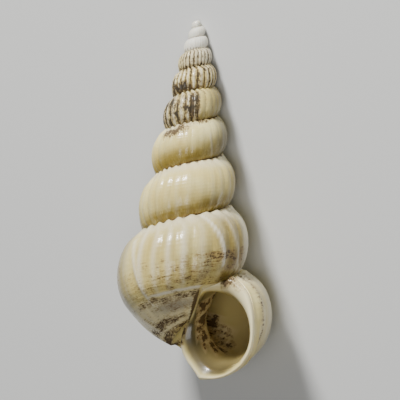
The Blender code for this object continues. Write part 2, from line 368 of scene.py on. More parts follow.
def ribbon(name, columns, rows):
    """Flat grid, with the column and row of each vertex."""
    deselect()
    bpy.ops.mesh.primitive_grid_add(x_subdivisions=columns, y_subdivisions=rows, size=1)
    piece = bpy.context.object
    piece.name = name
    co = np.array([v.co for v in piece.data.vertices])
    column = np.round((co[:, 0] + 0.5) * columns)
    row = np.round((co[:, 1] + 0.5) * rows)
    return piece, column, row


def shape(piece, points, growth, lining):
    """Moves the vertices, and keeps their growth and lining places, each (x, y), as two UV maps."""
    mesh = piece.data
    mesh.vertices.foreach_set("co", np.ascontiguousarray(points, np.float32).ravel())
    corner = np.zeros(len(mesh.loops), int)
    mesh.loops.foreach_get("vertex_index", corner)
    for old in list(mesh.uv_layers):
        mesh.uv_layers.remove(old)
    for name, pair in (("growth", growth), ("lining", lining)):
        values = np.zeros((len(points), 2), np.float32)
        values[:, 0], values[:, 1] = pair
        mesh.uv_layers.new(name=name).uv.foreach_set("vector", values[corner].ravel())
    mesh.update()
    print(piece.name, "ribbon:", len(mesh.vertices), "vertices")


# %% Outside ribbon
NOT_LINING = (0.0, 0.0)
side, column, row = ribbon("side", LAST_COLUMN, SIDE_ROWS)
side_turn = column / COLUMNS_PER_TURN
side_across = closer_ends(row / SIDE_ROWS)
shape(side, place(side_turn, *side_point(side_turn, side_across)), (side_turn, side_across), NOT_LINING)

# %% [markdown]
# ## The underside
# Under the last turn the shell closes with a rounded base. It runs from the cord in to a low ridge that
# the front corner of the mouth leaves behind, with one small folded knob on it. Filling the open edge
# with a flat face would lose the bulge, so the base is a curve between three points: the cord, a middle
# point and the ridge.

# %% Base
RIDGE_TURNS = (8.1, 8.5, 8.75, 9.0, 9.105)
RIDGE_RADII = (1.0, 1.5, 1.9, 2.3, 2.5)
RIDGE_HEIGHTS = (-37.2, -39.9, -41.3, -43.8, -44.85)
BASE_BULGE = (0.62, 0.42)
BASE_RIB = 0.4
BASE_SWELLING = 0.8
BASE_FLARE = 0.4
RIDGE_FLARE = 0.05
KNOB_TURN, KNOB_WIDTH, KNOB_OUT, KNOB_DOWN = 8.56, 0.05, 0.35, 0.5


def base_point(turn, t):
    """Underside from the cord (t = 0) to the ridge round the dimple (t = 1)."""
    start_r, start_z = cord(turn)
    knob = bump(turn, KNOB_TURN, KNOB_WIDTH)
    end_r = along(RIDGE_TURNS, RIDGE_RADII, turn) + KNOB_OUT * knob
    end_z = along(RIDGE_TURNS, RIDGE_HEIGHTS, turn) - RIDGE_FLARE * flare(turn) - KNOB_DOWN * knob
    middle_r = end_r + (start_r - end_r) * BASE_BULGE[0]
    middle_z = end_z + (start_z - end_z) * BASE_BULGE[1]
    r = (1 - t) ** 2 * start_r + 2 * t * (1 - t) * middle_r + t * t * end_r
    z = (1 - t) ** 2 * start_z + 2 * t * (1 - t) * middle_z + t * t * end_z
    lift = radius(turn) * rib(turn, 1.0)[0] * BASE_RIB
    lift = lift + swelling(turn) * BASE_SWELLING + flare(turn) * BASE_FLARE
    return r, z - lift * np.sin(math.pi * np.clip(t, 0, 1)) * (t < 1)


print("ridge at the mouth:", RIDGE_RADII[-1], "mm from the axis")

# %% [markdown]
# ## The pillar
# Inside the ridge the tube winds round a pillar on the axis, seen from below as a dimple. Towards the
# mouth the pillar's own lip bulges. It could be a cone of its own, but as more rows of the same ribbon it
# has no seam with the base.

# %% Pillar
DIMPLE_HEIGHT = -37.6
PILLAR_BULGE = 1.75
PILLAR_LIP_START = 8.95
PILLAR_ROUNDNESS = 1.3


def pillar_point(turn, t):
    """From the ridge (t = 0) up to the dimple on the axis (t = 1)."""
    start_r, start_z = base_point(turn, np.ones_like(turn))
    r, z = start_r * (1 - t), start_z + (DIMPLE_HEIGHT - start_z) * t
    lip = ramp((turn - PILLAR_LIP_START) / (LAST_TURN - PILLAR_LIP_START))
    r = r - PILLAR_BULGE * lip * np.sin(math.pi * np.clip(t, 0, 1)) ** PILLAR_ROUNDNESS * (t < 1)
    return r * (t < 1), z


def under_point(turn, u):
    """Whole underside: u from 0 to 1 is the base, from 1 to 2 the pillar."""
    on_base = u <= 1
    base_r, base_z = base_point(turn, np.clip(u, 0, 1))
    pillar_r, pillar_z = pillar_point(turn, np.clip(u - 1, 0, 1))
    return np.where(on_base, base_r, pillar_r), np.where(on_base, base_z, pillar_z)


print("height of the dimple:", DIMPLE_HEIGHT, "mm, where the tip is at", DROPS[0])

# %% Underside ribbon
FIRST_COLUMN = LAST_COLUMN - COLUMNS_PER_TURN
LEAD_COLUMNS = 30
BASE_ROWS = 16
PILLAR_ROWS = 7


def under_across(row):
    """Where a row of the underside lies: base first, then the pillar."""
    return np.where(row <= BASE_ROWS, row / BASE_ROWS, 1 + (row - BASE_ROWS) / PILLAR_ROWS)


under, column, row = ribbon("under", COLUMNS_PER_TURN - LEAD_COLUMNS, BASE_ROWS + PILLAR_ROWS)
under_turn = (FIRST_COLUMN + LEAD_COLUMNS + column) / COLUMNS_PER_TURN
under_u = under_across(row)
shape(under, place(under_turn, *under_point(under_turn, under_u)), (under_turn, 1 + under_u), NOT_LINING)

# %% [markdown]
# ## The edge of the mouth
# Two ribbons are in place, and one edge is still open. It runs from the seam down the outer lip, along
# the front, up over the underside and back along the cord. A third ribbon will start on that edge. Its
# points could be found by searching the mesh for open edges, but the functions above give them in order.

# %% Outline of the mouth
rows_down = closer_ends(np.arange(SIDE_ROWS + 1) / SIDE_ROWS)
rows_in = under_across(np.arange(1, BASE_ROWS + PILLAR_ROWS + 1))
rows_out = under_across(np.arange(BASE_ROWS + PILLAR_ROWS - 1, -1, -1))
inner_turn = (FIRST_COLUMN + LEAD_COLUMNS) / COLUMNS_PER_TURN
cord_turns = (FIRST_COLUMN + np.arange(LEAD_COLUMNS - 1, 0, -1)) / COLUMNS_PER_TURN
edge = np.concatenate(
    (
        place(LAST_TURN, *side_point(np.full_like(rows_down, LAST_TURN), rows_down)),
        place(LAST_TURN, *under_point(np.full_like(rows_in, LAST_TURN), rows_in)),
        place(inner_turn, *under_point(np.full_like(rows_out, inner_turn), rows_out)),
        place(cord_turns, *cord(cord_turns)),
    )
)
free_edge = len(rows_down) + len(rows_in)
print("mouth edge:", len(edge), "points,", free_edge, "of them on the free lip")

# %% [markdown]
# ## The opening
# The mouth is a thick rounded ring whose inner edge is almost a circle. The outline above is far from
# round, so the inner edge is typed as a distance from the middle of the mouth in each direction, and
# drawn smooth. Insetting the outer edge would be quicker, but it would copy the notch where the seam runs
# into the mouth.

# %% Inner edge of the ring
MOUTH_FACING = math.radians(19)
MOUTH_CENTRE = (5.2, -39.0)
# Degrees round the middle of the mouth, and the distance to the inner edge in each direction
OPENING = np.array(
    (
        (-162, 3.64), (-138, 4.0), (-113, 4.5), (-97, 4.7), (-74, 4.7), (-49, 4.63), (-27, 4.65),
        (8, 4.4), (45, 4.4), (68, 4.6), (82, 4.8), (99, 4.86), (106, 4.83), (112, 4.44),
        (120, 4.02), (129, 3.64), (138, 3.4), (148, 3.3), (157, 3.32), (165, 3.5), (176, 3.56),
    )
).T
OPENING_DEPTH = 0.75
EDGE_EASING, OPENING_EASING = 8, 3


def eased(values, times=EDGE_EASING):
    """Evens out steps along a closed row of values."""
    for _ in range(times):
        values = (np.roll(values, 1, 0) + 2 * values + np.roll(values, -1, 0)) / 4
    return values


across_mouth = np.array((math.cos(MOUTH_FACING), -math.sin(MOUTH_FACING), 0.0))
out_of_mouth = np.array((-math.sin(MOUTH_FACING), -math.cos(MOUTH_FACING), 0.0))
along_axis = np.array((0, 0, 1.0))
mouth_middle = place(LAST_TURN, *np.array(MOUTH_CENTRE))
rays = edge - mouth_middle
way = np.arctan2(rays[:, 2], rays @ across_mouth)
opening = eased(np.interp(way, np.radians(OPENING[0]), OPENING[1], period=2 * math.pi))
inner_edge = opening[:, None] * (np.cos(way)[:, None] * across_mouth + np.sin(way)[:, None] * along_axis)
edge_height = rays @ out_of_mouth
inner_edge = inner_edge + (OPENING_DEPTH * edge_height)[:, None] * out_of_mouth
inner_edge = eased(inner_edge, OPENING_EASING)
print("opening:", round(float(inner_edge[:, 2].max() - inner_edge[:, 2].min()), 1), "mm high")

# %% [markdown]
# ## The ring
# From the outer edge the ring first goes in over a narrow foot with a groove, then rises, rolls over and
# dips into the mouth. At the front it is a flat funnel instead. A bevel would make it the same all the
# way round, and this one changes from place to place, so every measure is a row of values at stations
# round the edge.

# %% Profile of the ring
# Stations round the edge: 0 seam, 1 front, 2 ridge, 3 dimple, 4 ridge, 5 cord, 6 seam again
STATIONS = (0, 0.3, 1, 2, 3, 4, 4.6, 5, 5.2, 5.4, 5.7, 6)
FOOT = (0.05, 0.05, 0.04, 0.03, 0.1, 0.35, 0.5, 0.6, 0.4, 0.2, 0.08, 0.05)
GROOVE = (0.1, 0, 0, 0, 0.1, 0.25, 0.35, 0.2, 0.1, 0.05, 0.05, 0.1)
RISE = (1.0, 1.0, 0.7, 0.12, 0.15, 0.3, 0.35, 0.35, 0.5, 0.7, 0.95, 1.0)
FUNNEL = (0, 0, 0.3, 0.9, 0.7, 0.2, 0, 0, 0, 0, 0, 0)
# The same ring from its outer to its inner edge
RING_INWARDS = (0, 0.03, 0.22, 0.55, 0.85, 1.0)
RING_FORWARDS = (0, 0.5, 0.85, 0.8, 0.3, -0.6)
FUNNEL_FORWARDS = (0, 0.05, -0.1, -0.35, -0.5, -0.55)
RING_BRIDGE = (0, 0.6, 1, 1, 0.9, 0.7)
NOTCH_EASING = 150

cord_station = 5 + np.arange(1, LEAD_COLUMNS) / LEAD_COLUMNS
station = np.concatenate((rows_down, 1 + rows_in, 5 - rows_out, cord_station))
foot, groove, rise, funnel = (eased(np.interp(station, STATIONS, v)) for v in (FOOT, GROOVE, RISE, FUNNEL))
# The ring bridges the notch where the seam runs into the mouth
bridge = eased(np.clip(eased(edge_height, NOTCH_EASING) - edge_height, 0, None))
print("deepest notch that the ring bridges:", round(float(bridge.max()), 2), "mm")

# %% Loops of the ring
FOOT_LOOPS = 4
RING_LOOPS = 15


def ring_loop(inwards, forwards):
    """Edge of the mouth drawn towards the inner edge of the ring, and moved out of the mouth."""
    return mouth_middle + rays + (inner_edge - rays) * inwards[:, None] + out_of_mouth * forwards[:, None]


loops = [edge]
for k in range(1, FOOT_LOOPS + 1):
    part = k / FOOT_LOOPS
    loops.append(ring_loop(foot * part, -groove * math.sin(math.pi * part)))
knots = np.linspace(0, 1, len(RING_INWARDS))
for k in range(1, RING_LOOPS + 1):
    part = k / RING_LOOPS
    inwards = foot + (1 - foot) * along(knots, RING_INWARDS, part)
    forwards = rise * along(knots, RING_FORWARDS, part) + bridge * along(knots, RING_BRIDGE, part)
    forwards = forwards + funnel * along(knots, FUNNEL_FORWARDS, part)
    loops.append(ring_loop(inwards, forwards))
print("loops from the edge to the inside of the ring:", len(loops))

# %% [markdown]
# ## The bore
# Behind the mouth the tube goes on into the dark. A dark disc could stand for it, but it would show from
# the side. So the loops follow the inside of the tube up four turns: mouth shaped near the lip, and oval
# further in. Near the lip some points lie ahead of the others along the growth, and that lead fades out
# on the way.

# %% Bore
WALL = 0.07
BORE_END = 5.0
BORE_STEP = 1 / 24
BORE_BLEND = 0.35
ON_AXIS = 0.1
LEAD_EASING = 12

ahead_of_edge = (np.arctan2(-edge[:, 1], edge[:, 0]) / (2 * math.pi) - LAST_TURN) % 1.0
on_inner_lip = (np.arange(len(edge)) >= free_edge) & (np.hypot(edge[:, 0], edge[:, 1]) > ON_AXIS)
leads = eased(np.where(on_inner_lip, ahead_of_edge, 0.0), LEAD_EASING)


def bore_loop(turn):
    """Inside of the tube at a turn."""
    blend = ramp((LAST_TURN - turn) / BORE_BLEND)
    size = radius(turn)
    wide, tall = TUBE_WIDTH * size - WALL * size, tube_height(turn) - WALL * size
    growth = size / radius(LAST_TURN)
    tube = np.array((size * (1 - TUBE_WIDTH), drop(turn)))
    mouth = np.array((MOUTH_CENTRE[0] * growth, MOUTH_CENTRE[1] + drop(turn) - drop(LAST_TURN)))
    middle = mouth + (tube - mouth) * blend
    oval = 1 / np.hypot(np.cos(way) / wide, np.sin(way) / tall)
    reach = opening * growth
    out = reach + (oval - reach) * blend
    return place(turn + leads * (1 - blend), middle[0] + out * np.cos(way), middle[1] + out * np.sin(way))


bore_turns = np.arange(LAST_TURN - BORE_STEP, BORE_END, -BORE_STEP)
loops += [bore_loop(turn) for turn in bore_turns]
print("bore:", round(LAST_TURN - BORE_END, 1), "turns deep,", len(bore_turns), "loops")

# %% Lining ribbon
# Depth of each loop: 0 at the edge, 1 where the ring ends, and then one more for each turn of the bore
depths = np.concatenate((np.linspace(0, 1, FOOT_LOOPS + RING_LOOPS + 1), 1 + (LAST_TURN - bore_turns)))
LINING_GROWTH = (LAST_TURN, 0.5)

lining, column, row = ribbon("lining", len(edge), len(loops) - 1)
around, deep = column.astype(int), row.astype(int)
shape(lining, np.array(loops)[deep, around % len(edge)], LINING_GROWTH, (around / len(edge), depths[deep]))

# %% [markdown]
# ## Joining the ribbons
# The three ribbons are joined, and the vertices that lie on each other become one. The bore is still open
# at its far end, and that last loop is filled. Then the normals are made to face outwards, which only
# works once the surface is closed and its doubles are merged.

# %% Join and close
MERGE_DISTANCE = 1e-4

deselect()
for piece in (lining, under, side):
    piece.select_set(True)
bpy.context.view_layer.objects.active = side
bpy.ops.object.join()
shell = bpy.context.object
shell.name = "shell_surface"
shell.data.name = "shell_surface"
bpy.ops.object.mode_set(mode="EDIT")
bpy.ops.mesh.select_all(action="SELECT")
bpy.ops.mesh.remove_doubles(threshold=MERGE_DISTANCE)
bpy.ops.mesh.dissolve_degenerate(threshold=MERGE_DISTANCE)
bpy.ops.mesh.select_all(action="DESELECT")
bpy.ops.mesh.select_non_manifold()
bpy.ops.mesh.edge_face_add()
bpy.ops.mesh.select_all(action="SELECT")
bpy.ops.mesh.normals_make_consistent(inside=False)
bpy.ops.object.mode_set(mode="OBJECT")
print("joined:", len(shell.data.vertices), "vertices,", len(shell.data.polygons), "faces")

# %% [markdown]
# ## Laying the shell down
# A long pointed shell rests on the side of its last turn and on the ribs of the spire. It could be turned
# as an object, but the turned and scaled coordinates go straight into the mesh, so that the object stays
# at the origin and patterns stay put. Where the lowest ribs touch the table they are worn flat by a
# fraction of a millimetre, cut with a bisect at table height.

# %% Lay down and wear flat
SIDE_DOWN = math.radians(54)
TIP_DOWN = math.radians(15.28)
SHIFT = (-0.91514, 21.64615, 0.50101)
MILLIMETRE = 0.001
TABLE = {"plane_co": (0, 0, 0), "plane_no": (0, 0, 1)}
CUT_MERGE = 1e-8
SMOOTH_ANGLE = math.radians(50)

up = Vector(
    (
        -math.cos(SIDE_DOWN) * math.cos(TIP_DOWN),
        -math.sin(SIDE_DOWN) * math.cos(TIP_DOWN),
        -math.sin(TIP_DOWN),
    )
)
forward = (Vector((0, 0, 1)) - up.z * up).normalized()
right = forward.cross(up)
lay_down = Matrix((right, forward, up)).to_4x4()
shell.data.transform(Matrix.Scale(MILLIMETRE, 4) @ Matrix.Translation(SHIFT) @ lay_down)

bpy.ops.object.mode_set(mode="EDIT")
bpy.ops.mesh.select_all(action="SELECT")
bpy.ops.mesh.bisect(**TABLE, use_fill=True, clear_inner=True, threshold=CUT_MERGE)
bpy.ops.object.mode_set(mode="OBJECT")
bpy.ops.object.shade_smooth_by_angle(angle=SMOOTH_ANGLE)
print("box of the shell:", [round(1000 * x, 2) for x in shell.dimensions], "mm")

# %% Check the surface
triangles = sum(len(p.vertices) - 2 for p in shell.data.polygons)
bpy.ops.object.mode_set(mode="EDIT")
bpy.ops.mesh.select_all(action="DESELECT")
bpy.ops.mesh.select_non_manifold()
bpy.ops.object.mode_set(mode="OBJECT")
print("triangles:", triangles, "open edges:", sum(e.select for e in shell.data.edges))

# %% [markdown]
# ## Where the tints and the dirt go
# The real shell is hard, glossy, slightly clear lime. It is ivory, with a warm amber tint low on each turn
# that is partly the thin wall and partly painted shade, pale crests, paler tops on the late turns that are
# painted light, and dirt that has dried in grooves and on rough patches, with painted shade in a few deep
# grooves. Each tint gets a mask stored on the face corners: a number from 0 to 1 worked out from the growth
# map. A painted image would do the same, but masks from the growth map follow the form by themselves.

# %% Growth map of the finished surface
EDGE_DEPTH = 0.05
mesh = shell.data
corners = len(mesh.loops)


def read_map(name):
    values = np.zeros(corners * 2, np.float32)
    mesh.uv_layers[name].uv.foreach_get("vector", values)
    return values.reshape(-1, 2).astype(float).T


turn, across = read_map("growth")
around, deep = read_map("lining")
inside = deep > EDGE_DEPTH
outside = 1 - ramp(deep / EDGE_DEPTH)
on_side = across <= 1
rib_at = rib_number(turn, np.clip(across, 0, 1))
nearest = np.round(rib_at)
_, crest = rib(turn, np.clip(across, 0, 1))
print("corners:", corners, "of them inside the mouth:", int(inside.sum()))


# %% Helpers for masks
def climb(x, start, full):
    """0 at the start and 1 at full, also where full is the smaller."""
    return ramp((x - start) / (full - start))


def span(x, start, full, fade, end):
    """1 from full to fade, and 0 before the start and past the end."""
    return climb(x, start, full) * climb(x, end, fade)


def patches(x, y, places):
    """Soft oval patches, each (x, y, half width, half height, strength)."""
    out = np.zeros_like(x)
    for at_x, at_y, wide, tall, strength in places:
        far = ((x - at_x) / wide) ** 2 + ((y - at_y) / tall) ** 2
        out = np.maximum(out, strength * np.exp(-(far**2)))
    return out


def keep(name, values):
    """Stores a mask on the face corners."""
    layer = mesh.attributes.new(name, "FLOAT", "CORNER")
    layer.data.foreach_set("value", np.clip(values, 0, 1).astype(np.float32))
    print(name, "mean", round(float(np.mean(values)), 3))


# %% [markdown]
# ## White: crests, cord, old lips, painted light
# The lime is thickest on the rib crests, the cord and the old lips, so they are whiter than the skin
# between. The base is chalky all over, and a little paler still as painted light that lifts it out of its
# shade. The shoulders of the late turns are paler as painted light from above. Sharp curvature could be
# read from the mesh to find crests, but the rib number gives them cleanly, and each rib can be whiter or
# fainter than its neighbours.

# %% White lines on the ribs
LINE_WIDTH, LINE_LEAST, LINE_SPREAD = 0.19, 0.08, 0.34
LATE_TURNS = (7.9, 8.1)
MIDDLE_TURNS, MIDDLE_SHARE = (6.3, 6.6), 0.3
LINES_END = (9.03, 8.99)
LINE_LOW_END, LINE_LOW_LOSS = (0.8, 1.1), 0.85
AMBER_TURN, AMBER_WIDTH, AMBER_ACROSS, AMBER_LOSS = 8.1, 0.07, (0.5, 0.7), 0.7

line = bump(rib_at, nearest, LINE_WIDTH) * (LINE_LEAST + LINE_SPREAD * scatter(nearest, 2) ** 2)
late = climb(turn, *LATE_TURNS)
line = line * (late + MIDDLE_SHARE * climb(turn, *MIDDLE_TURNS)).clip(0, 1) * climb(turn, *LINES_END)
line = line * (1 - LINE_LOW_LOSS * climb(across, *LINE_LOW_END))
line = line * (1 - AMBER_LOSS * bump(turn, AMBER_TURN, AMBER_WIDTH) * climb(across, *AMBER_ACROSS))
print("strongest white line:", round(float(line.max()), 2))

# %% White mask
CORD_WHITE, CORD_LINE_WIDTH, CORD_LINE_TURNS = 0.7, 0.02, (8.19, 8.22, 8.34, 8.4)
# Old lips: turn, half width, whiteness
WHITE_LIPS = ((9.01, 0.045, 0.35), (8.48, 0.045, 0.2), (8.02, 0.035, 0.6))
THIN_RIB_WHITE, THIN_RIB_TOP = 4, 0.15
# Chalky base: partly real chalk, partly painted light
BASE_CHALK_AND_LIGHT, BASE_CHALK_ACROSS, BASE_CHALK_END = 0.32, (1.02, 1.12, 1.85, 1.95), (8.6, 8.5)
# Painted light: paler shoulders on the late turns
SHOULDER_PAINTED_LIGHT, SHOULDER_ACROSS, SHOULDER_TURNS = 0.38, (0.36, 0.1), (6.1, 6.4)
# On the stained early turns only the tops of the ribs stay clean
CLEAN_CRESTS, CLEAN_NARROW = 0.5, 6
STAINED_TURNS = ((3.6, 3.9, 4.9, 5.0), (5.22, 5.25, 5.65, 5.75))
RING_WHITE, RING_START = 0.3, (0, 0.1)
RING_SIDES = ((0.25, 0.2), (0.68, 0.73))
RING_END, RING_SIDE_MORE, RING_FADE = 0.6, 0.35, 0.12

cord_line = CORD_WHITE * bump(across, 1, CORD_LINE_WIDTH) * span(turn, *CORD_LINE_TURNS)
white_lips = sum(strength * bump(turn, at, width) for at, width, strength in WHITE_LIPS)
white_thin = THIN_RIB_WHITE * thin_rib(turn, across).clip(0, THIN_RIB_TOP)
chalk_and_light_on_base = BASE_CHALK_AND_LIGHT * span(across, *BASE_CHALK_ACROSS) * climb(turn, *BASE_CHALK_END)
painted_light_on_tops = SHOULDER_PAINTED_LIGHT * climb(across, *SHOULDER_ACROSS) * climb(turn, *SHOULDER_TURNS)
clean_crests = CLEAN_CRESTS * crest**CLEAN_NARROW * sum(span(turn, *turns) for turns in STAINED_TURNS)
white = np.maximum.reduce((line, cord_line, white_lips, white_thin, chalk_and_light_on_base, painted_light_on_tops, clean_crests))
ring_depth = RING_END + RING_SIDE_MORE * sum(climb(around, *places) for places in RING_SIDES)
on_ring = climb(deep, *RING_START) * ramp((ring_depth - deep) / RING_FADE)
# The white mask also carries painted light on the base and on the tops of the late turns
keep("white", np.where(inside, RING_WHITE * on_ring, white * outside))

# %% [markdown]
# ## Amber: thin wall and painted shade
# Low on each turn the wall looks thin, as if warm light came through, and here and there an amber patch
# shows. The broad band low on each turn is also painted shade, darkening the lower part of each turn that
# light from above reaches less. Real translucence would need a hollow shell with a wall of true thickness,
# so the warmth is a tint: a broad band low on the turns, and soft oval patches placed on the growth map.

# %% Amber mask
# Turn, across, half width, half height, strength
AMBER_PATCHES = (
    (8.09, 0.82, 0.09, 0.38, 1.0),
    (8.12, 0.5, 0.08, 0.45, 0.8),
    (8.2, 0.7, 0.12, 0.25, 0.6),
    (8.25, 0.4, 0.18, 0.45, 0.4),
    (8.3, 0.6, 0.15, 0.45, 0.3),
    (8.29, 1.36, 0.09, 0.15, 1.0),
    (7.12, 0.92, 0.2, 0.26, 1.0),
    (7.32, 0.94, 0.26, 0.22, 0.95),
    (6.1, 0.88, 0.2, 0.4, 0.9),
    (6.3, 0.9, 0.3, 0.28, 0.9),
    (6.2, 0.03, 0.3, 0.1, 0.6),
    (5.05, 0.6, 0.22, 0.6, 0.4),
    (5.2, 0.9, 0.3, 0.2, 0.8),
    (4.2, 0.9, 0.4, 0.3, 0.4),
)
LOW_AMBER_AND_SHADE, LOW_ACROSS, LOW_TURNS, LATE_LOSS = 0.6, (0.4, 0.9), (3.5, 5.3), 0.6
GREY_TURN, GREY_WIDTH, GREY_LOSS = 5.45, 0.17, 0.7

# Broad band low on each turn: amber of the thin wall, and painted shade
low_on_turn = climb(across, *LOW_ACROSS) * on_side * climb(turn, *LOW_TURNS) * (1 - LATE_LOSS * late)
not_grey = 1 - GREY_LOSS * bump(turn, GREY_TURN, GREY_WIDTH)
amber = np.maximum(LOW_AMBER_AND_SHADE * low_on_turn, patches(turn, across, AMBER_PATCHES))
keep("amber", amber * outside * not_grey)

# %% [markdown]
# ## Stain inside the mouth
# On the floor of the mouth lies a crusted stain with an uneven outline, and a dark line runs along part of
# that outline. It could be painted by hand in texture paint. As a line of depths round the lining it needs
# no image, and the dark line is a bell that follows the same outline.

# %% Stain mask
# Edge of the stained patch: parts of the way around, and how deep it starts there
STAIN_EDGE = (
    (0.16, 0.18, 0.25, 0.32, 0.4, 0.42, 0.44, 0.47, 0.52, 0.6, 0.63, 0.65),
    (1.6, 1.27, 1.23, 1.2, 1.12, 1.08, 1.04, 1.01, 0.95, 0.9, 0.65, 1.6),
)
STAIN_SHIFT, STAIN_SOFT, STAIN_END = 0.015, 0.02, (1.9, 1.8)
# Dark line along part of the outline of the stained patch
RIM_DARK, RIM_DEPTH, RIM_WIDTH, RIM_AROUND = 0.85, 0.015, 0.02, (0.3, 0.33, 0.55, 0.6)

past_edge = deep - np.interp(around, *STAIN_EDGE) + STAIN_SHIFT
stain = ramp(past_edge / STAIN_SOFT) * climb(deep, *STAIN_END)
dark_edge_line = RIM_DARK * bump(past_edge, RIM_DEPTH, RIM_WIDTH) * span(around, *RIM_AROUND)
keep("stain", stain)

# %% [markdown]
# ## Dirt and painted shade
# Dirt sits where nothing rubs it off: between the ribs of the early turns, in the seams, and in rough
# patches on the base and in the mouth. The groove of the neck gets a dark line that is partly dirt and
# partly painted shade, and the gaps between the deep folds on the left outline get painted shade as dark
# flecks. Ambient occlusion could find some of the grooves, but it would miss the patches, so thin lines
# come from the rib number and the patches are typed on the growth map. The mask says only how likely a
# dark fleck is. Noise in the material decides where a fleck lies.

# %% Dirt between the ribs and in the seams, painted shade in the folds and the neck
# The dirt starts at this turn in the lower part of the side, and later above it
EARLY_START, EARLY_GROWTH, EARLY_END = 2.0, 0.3, (5.9, 5.5)
EARLY_LATER, EARLY_ACROSS = 0.9, (0.9, 0.4)
CLEAN_TURN, CLEAN_WIDTH, CLEAN_SHARE = 5.08, 0.12, 0.8
# Deep folds on the left outline, with painted shade in their gaps: turn and half width
FOLD_MIDDLE, FOLD_LATE, FOLD_ACROSS, FOLD_SHADE = (6.54, 0.08), (7.54, 0.07), (0.55, 0.85), 0.6
GAP_WIDTH = 0.19
SEAM_DARK, SEAM_START, SEAM_END = 0.8, (0.8, 1.8), 8
SEAM_WIDTH, SEAM_WIDER, SEAM_NARROWING = 0.05, 0.06, (4.2, 2.2)
# Dark line in the groove of the neck: partly dirt, partly painted shade
NECK_DARK, NECK_SHIFT, NECK_LINE, NECK_END = 0.62, 0.006, 0.01, 0.9

early_start = EARLY_START + EARLY_LATER * climb(across, *EARLY_ACROSS)
early = climb(turn, early_start, early_start + EARLY_GROWTH) * climb(turn, *EARLY_END)
early = early * (1 - CLEAN_SHARE * bump(turn, CLEAN_TURN, CLEAN_WIDTH))
folds = bump(turn, *FOLD_MIDDLE) + bump(turn, *FOLD_LATE) * climb(across, *FOLD_ACROSS)
from_gap = 0.5 - np.abs(rib_at - nearest)
thin_dirt_and_fold_shade = bump(from_gap, 0, GAP_WIDTH) * (early + FOLD_SHADE * folds) * on_side
seam_width = SEAM_WIDTH + SEAM_WIDER * climb(turn, *SEAM_NARROWING)
seam = bump(across, 0, seam_width) + bump(across, 1, seam_width)
seam = SEAM_DARK * climb(turn, *SEAM_START) * seam * (turn < SEAM_END)
neck_dirt_and_shade = NECK_DARK * bump(turn, NECK_TURN + NECK_SHIFT, NECK_LINE) * (across <= NECK_END)
print("dirt between ribs and in seams:", round(float(thin_dirt_and_fold_shade.mean()), 3), round(float(seam.mean()), 3))

# %% Dirt patches
# Turn, across, half width, half height, strength
DIRT_PATCHES = (
    (2.3, 0.95, 0.4, 0.25, 0.5),
    (3.3, 0.95, 0.5, 0.2, 0.75),
    (3.25, 0.4, 0.5, 0.7, 0.5),
    (4.25, 0.35, 0.5, 0.7, 0.62),
    (4.38, 0.85, 0.19, 0.36, 1.0),
    (4.27, 0.89, 0.14, 0.15, 1.0),
    (5.45, 0.5, 0.2, 0.85, 0.74),
    (5.38, 0.95, 0.2, 0.2, 0.85),
    (5.26, 0.55, 0.055, 0.5, 1.0),
    (6.35, 0.22, 0.1, 0.24, 0.72),
    (6.22, 0.1, 0.12, 0.14, 0.66),
    (6.15, 0.03, 0.3, 0.08, 0.74),
    (7.15, 0.03, 0.3, 0.07, 0.72),
    (8.2, 0.84, 0.24, 0.24, 0.44),
    (8.15, 0.66, 0.12, 0.07, 0.62),
    (8.07, 0.85, 0.05, 0.2, 0.3),
    (8.33, 0.85, 0.14, 0.25, 0.36),
    (8.48, 0.6, 0.03, 0.6, 0.42),
    (8.3, 1.15, 0.2, 0.14, 0.62),
    (8.3, 1.5, 0.3, 0.3, 0.32),
    (8.45, 1.68, 0.3, 0.14, 0.62),
    (8.4, 1.92, 0.25, 0.1, 0.8),
    (8.213, 1.5, 0.015, 0.5, 1.0),
    (8.57, 2.0, 0.12, 0.14, 1.0),
    (8.8, 2.1, 0.2, 0.25, 0.8),
    (9.07, 0.1, 0.06, 0.15, 0.55),
    (9.05, 1.7, 0.12, 0.5, 0.6),
)
# Around, deep, half width, half height, strength
INSIDE_DIRT = (
    (0.02, 0.5, 0.07, 0.3, 0.74),
    (0.97, 0.6, 0.04, 0.3, 0.7),
    (0.455, 0.45, 0.02, 0.3, 0.72),
    (0.34, 0.85, 0.08, 0.12, 0.38),
    (0.465, 1.1, 0.03, 0.05, 0.95),
    (0.235, 1.31, 0.03, 0.05, 0.95),
    (0.262, 1.26, 0.015, 0.025, 0.95),
    (0.286, 1.23, 0.015, 0.025, 0.95),
    (0.312, 1.205, 0.015, 0.025, 0.95),
)
patch = patches(turn, across, DIRT_PATCHES)
inside_patch = patches(around, deep, INSIDE_DIRT)
print("patches outside and inside:", len(DIRT_PATCHES), len(INSIDE_DIRT))

# %% Mask of dirt and painted shade
CREST_RUB, CREST_RUB_END = 0.35, (6.2, 5.7)
THIN_LEAST, THIN_MORE = 0.85, 0.15
WHITE_RUB, WHITE_RUB_ACROSS, WHITE_RUB_START = 0.75, 1.02, 6
STAIN_DIRT = 0.52

patch = patch * (1 - CREST_RUB * crest**2 * climb(turn, *CREST_RUB_END))
outside_dirt_and_shade = np.maximum.reduce((seam, neck_dirt_and_shade, patch, thin_dirt_and_fold_shade * (THIN_LEAST + THIN_MORE * patch)))
rubbed_off = WHITE_RUB * white * (across < WHITE_RUB_ACROSS) * (turn > WHITE_RUB_START)
outside_dirt_and_shade = outside_dirt_and_shade * (1 - rubbed_off)
inside_dirt = np.maximum.reduce((inside_patch, STAIN_DIRT * stain, dark_edge_line))
keep("dirt_and_shade", np.where(inside, inside_dirt, outside_dirt_and_shade))

